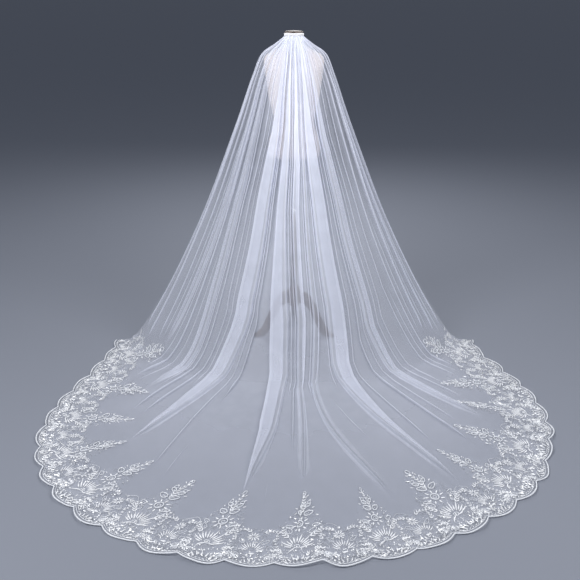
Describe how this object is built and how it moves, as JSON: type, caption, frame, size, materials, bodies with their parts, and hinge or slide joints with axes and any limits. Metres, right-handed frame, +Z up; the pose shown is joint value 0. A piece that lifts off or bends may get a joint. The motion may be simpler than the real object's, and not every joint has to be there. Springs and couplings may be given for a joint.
{
  "type": "bridal veil on a dress form stand",
  "caption": "Cathedral-length tulle bridal veil with a lace edge, gathered on a comb behind the neck of a limbless dress form on a tripod stand.",
  "frame": {"origin": "middle of the whole plan on the floor, which is z = 0", "axes": "+Z up; the train runs out towards -Y and the veil's open front faces +Y; +X is the wearer's right, seen on the right of a viewer who stands behind the train and looks along +Y"},
  "size_m": [2.4238, 2.4344, 1.7235],
  "materials": {
    "tulle": "sheer matte net",
    "lace": "embroidered and corded, with small sequins and beads",
    "satin_binding": "satin",
    "comb_metal": "bright",
    "form_cover": "matte plain-woven cover",
    "dark_wood": "dark stained, satin",
    "stand_metal": "satin"
  },
  "bodies": {
    "root": {"veil_fall": "tulle", "veil_train": "tulle", "lace_border": "lace", "hem_cord": "lace", "heading_band": "satin_binding", "comb": "comb_metal", "form_torso": "form_cover", "form_neck_cap": "dark_wood", "stand_pole": "dark_wood", "stand_rod": "stand_metal", "stand_ferrule": "stand_metal", "stand_clamp_screw": "stand_metal", "stand_leg_1": "dark_wood", "stand_leg_2": "dark_wood", "stand_leg_3": "dark_wood"}
  },
  "joints": []
}
